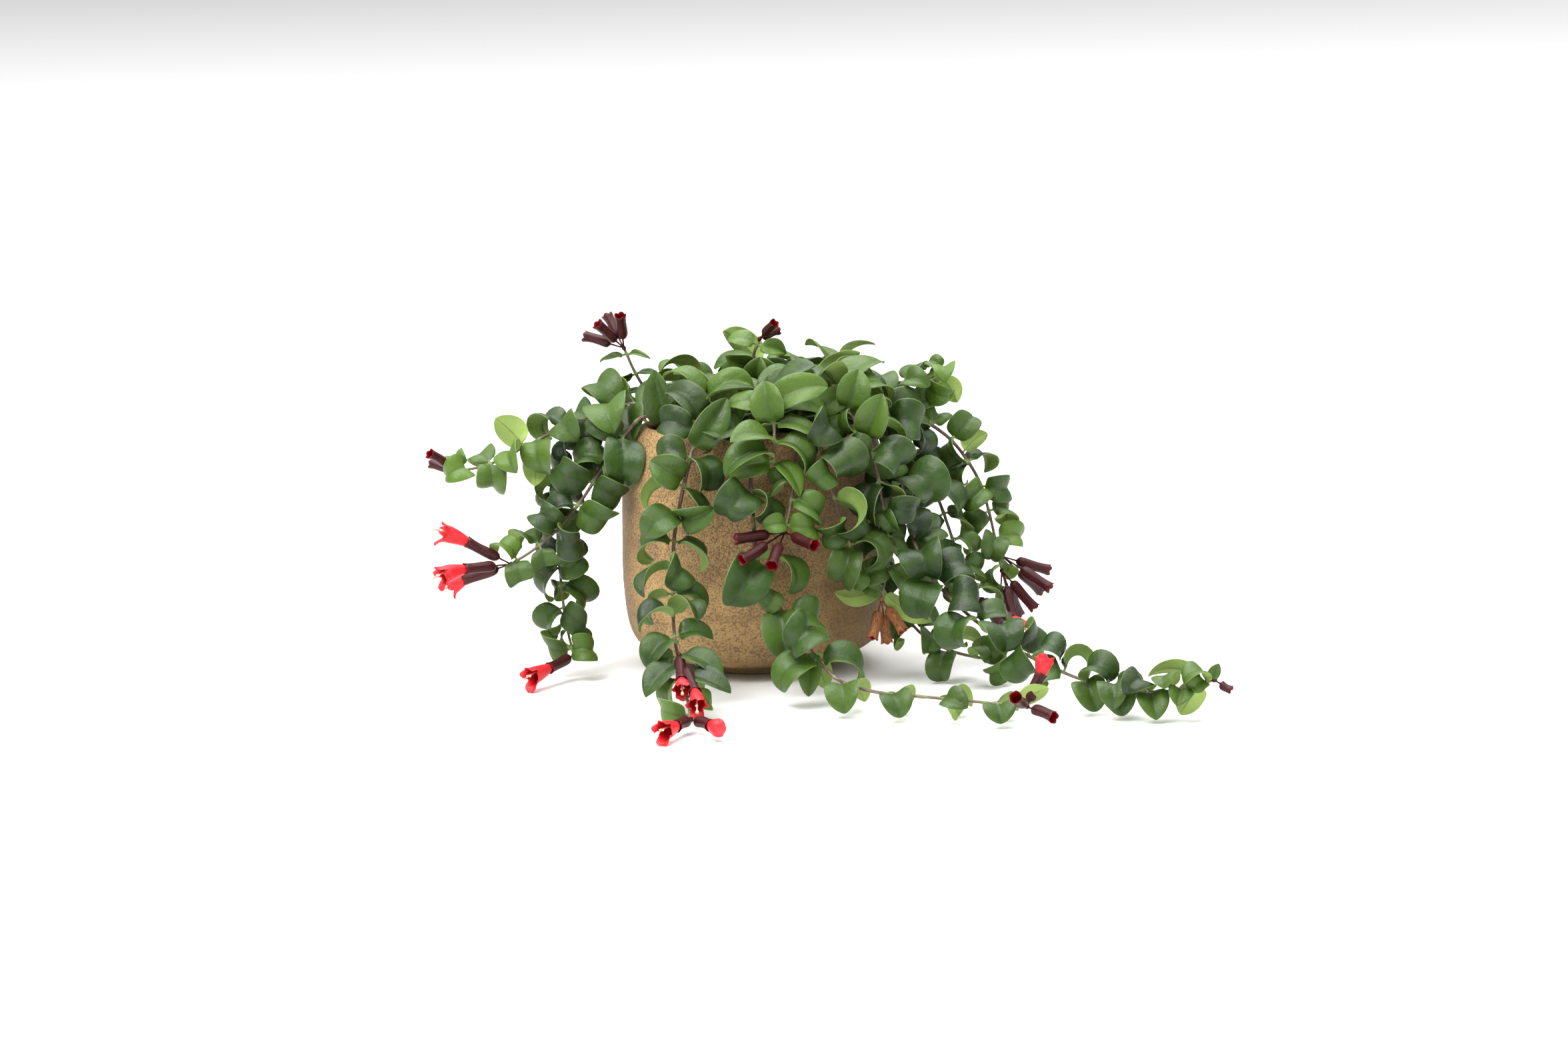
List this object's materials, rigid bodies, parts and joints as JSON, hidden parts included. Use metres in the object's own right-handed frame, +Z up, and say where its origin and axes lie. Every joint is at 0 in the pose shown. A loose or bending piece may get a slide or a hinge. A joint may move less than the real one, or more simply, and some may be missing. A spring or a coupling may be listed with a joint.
{
  "type": "potted trailing lipstick plant",
  "caption": "Trailing plant with curled waxy leaves, dark calyces and red tubular flowers, standing in a round speckled stoneware pot.",
  "frame": {"origin": "centre of the pot's flat foot, on the surface it stands on", "axes": "+Z up; +X towards the longest trail; the front of the plant faces -Y"},
  "size_m": [0.557, 0.5022, 0.2637],
  "materials": {
    "stoneware": "matt golden-ochre stoneware with dark brown speckle",
    "potting_soil": "crumbly dark brown potting mix",
    "leaf": "satin waxy dark green above, pale yellow-green below",
    "calyx": "satin dark maroon, finely ribbed",
    "corolla": "soft bright red petals, streaked in the throat"
  },
  "bodies": {
    "root": {"calyces_front_floor": "calyx", "calyces_front_right": "calyx", "calyces_front_right_floor": "calyx", "calyces_front_short": "calyx", "calyces_front_upper": "calyx", "calyces_left_high": "calyx", "calyces_left_middle": "calyx", "calyces_left_tall": "calyx", "calyces_right_far_lower": "calyx", "calyces_right_far_upper": "calyx", "calyces_right_near": "calyx", "calyces_top": "calyx", "calyx_left_floor": "calyx", "calyx_right_long": "calyx", "corolla_front_floor_1": "corolla", "corolla_front_floor_2": "corolla", "corolla_front_right_floor_1": "corolla", "corolla_front_upper_1": "corolla", "corolla_front_upper_2": "corolla", "corolla_left_floor_1": "corolla", "corolla_left_middle_1": "corolla", "corolla_left_middle_2": "corolla", "corolla_left_middle_3": "corolla", "corolla_right_near_1": "corolla", "crown_back": "leaf", "crown_back_left": "leaf", "crown_back_right": "leaf", "crown_front": "leaf", "crown_front_left": "leaf", "crown_front_middle": "leaf", "crown_left": "leaf", "crown_right": "leaf", "pot": "stoneware", "potting_soil": "potting_soil", "shoot_left_tall": "leaf", "shoot_right_top": "leaf", "shoot_top": "leaf", "trail_back_left": "leaf", "trail_back_middle_left": "leaf", "trail_back_middle_right": "leaf", "trail_back_right": "leaf", "trail_front_cluster": "leaf", "trail_front_floor": "leaf", "trail_front_left": "leaf", "trail_front_right": "leaf", "trail_front_short": "leaf", "trail_left_floor": "leaf", "trail_left_high": "leaf", "trail_left_middle": "leaf", "trail_right_far": "leaf", "trail_right_floor": "leaf", "trail_right_long": "leaf", "trail_right_near": "leaf"}
  },
  "joints": []
}
